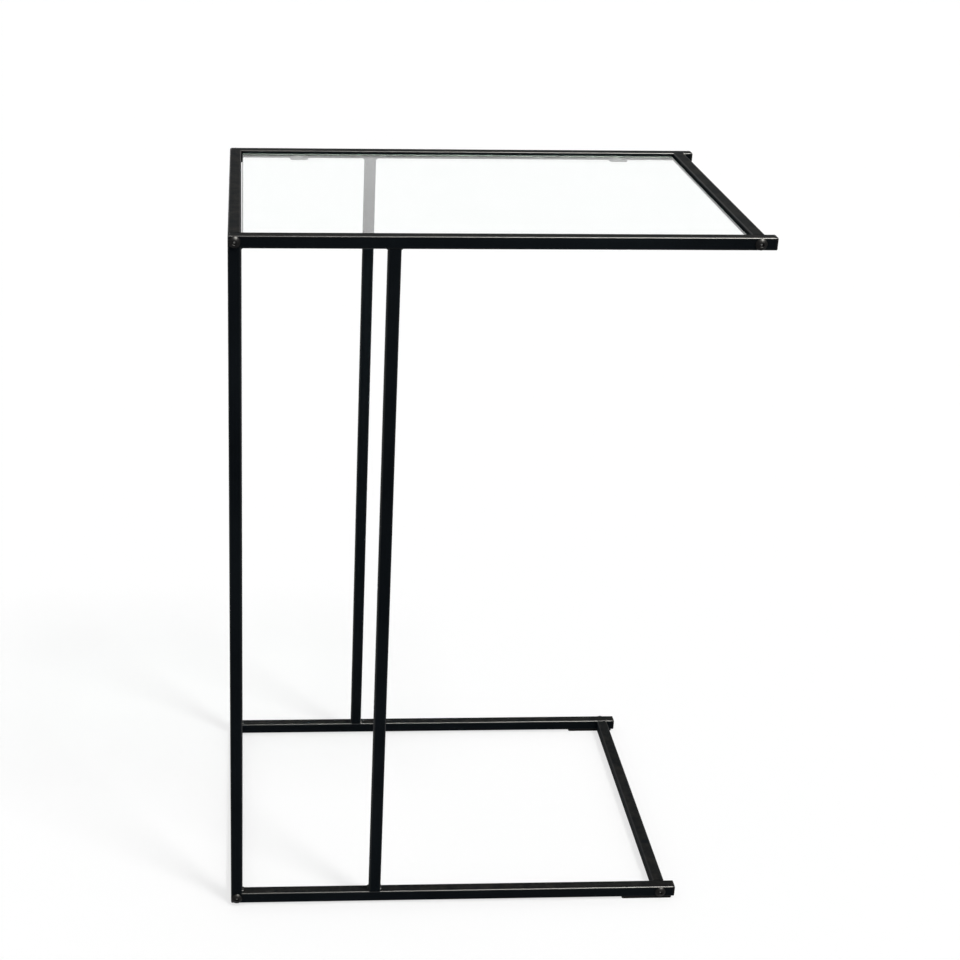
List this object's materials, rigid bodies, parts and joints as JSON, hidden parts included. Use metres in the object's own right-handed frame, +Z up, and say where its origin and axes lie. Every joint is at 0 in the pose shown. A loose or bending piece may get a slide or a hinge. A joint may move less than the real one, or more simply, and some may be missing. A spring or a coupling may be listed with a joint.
{
  "type": "side table",
  "caption": "Small C-shaped side table in black square steel tube with a loose clear glass top; its low base slides under a sofa or bed.",
  "frame": {"origin": "on the floor, under the middle of the table's bounding box", "axes": "+X towards the open side, +Y to the back, +Z up"},
  "size_m": [0.415, 0.2902, 0.602],
  "materials": {
    "powder_coat": "satin black powder coat on steel",
    "zinc_steel": "bright zinc plate",
    "black_screw": "black oxide steel, slightly glossy",
    "cap_plastic": "fine moulded black plastic",
    "clear_pad": "clear soft pad",
    "clear_glass": "clear toughened glass with ground edges",
    "foot_rubber": "matt black rubber"
  },
  "bodies": {
    "frame": {"front_outer_post": "powder_coat", "front_inner_post": "powder_coat", "front_top_rail": "powder_coat", "front_base_rail": "powder_coat", "rear_outer_post": "powder_coat", "rear_inner_post": "powder_coat", "rear_top_rail": "powder_coat", "rear_base_rail": "powder_coat", "top_left_crossbar": "powder_coat", "top_right_crossbar": "powder_coat", "base_left_crossbar": "powder_coat", "base_right_crossbar": "powder_coat", "front_glass_tabs": "powder_coat", "rear_glass_tabs": "powder_coat", "top_left_plugs": "zinc_steel", "top_right_plugs": "zinc_steel", "base_left_plugs": "zinc_steel", "base_right_plugs": "zinc_steel", "front_screws": "black_screw", "rear_screws": "black_screw", "front_top_cap": "cap_plastic", "rear_top_cap": "cap_plastic", "front_base_cap": "cap_plastic", "rear_base_cap": "cap_plastic", "front_glass_pads": "clear_pad", "rear_glass_pads": "clear_pad", "front_floor_pads": "foot_rubber", "rear_floor_pads": "foot_rubber"},
    "glass": {"glass_top": "clear_glass"}
  },
  "joints": [
    {"name": "glass_lift", "type": "slide", "parent": "frame", "child": "glass", "axis": [0, 0, 1], "range_m": [0, 0.05]}
  ]
}
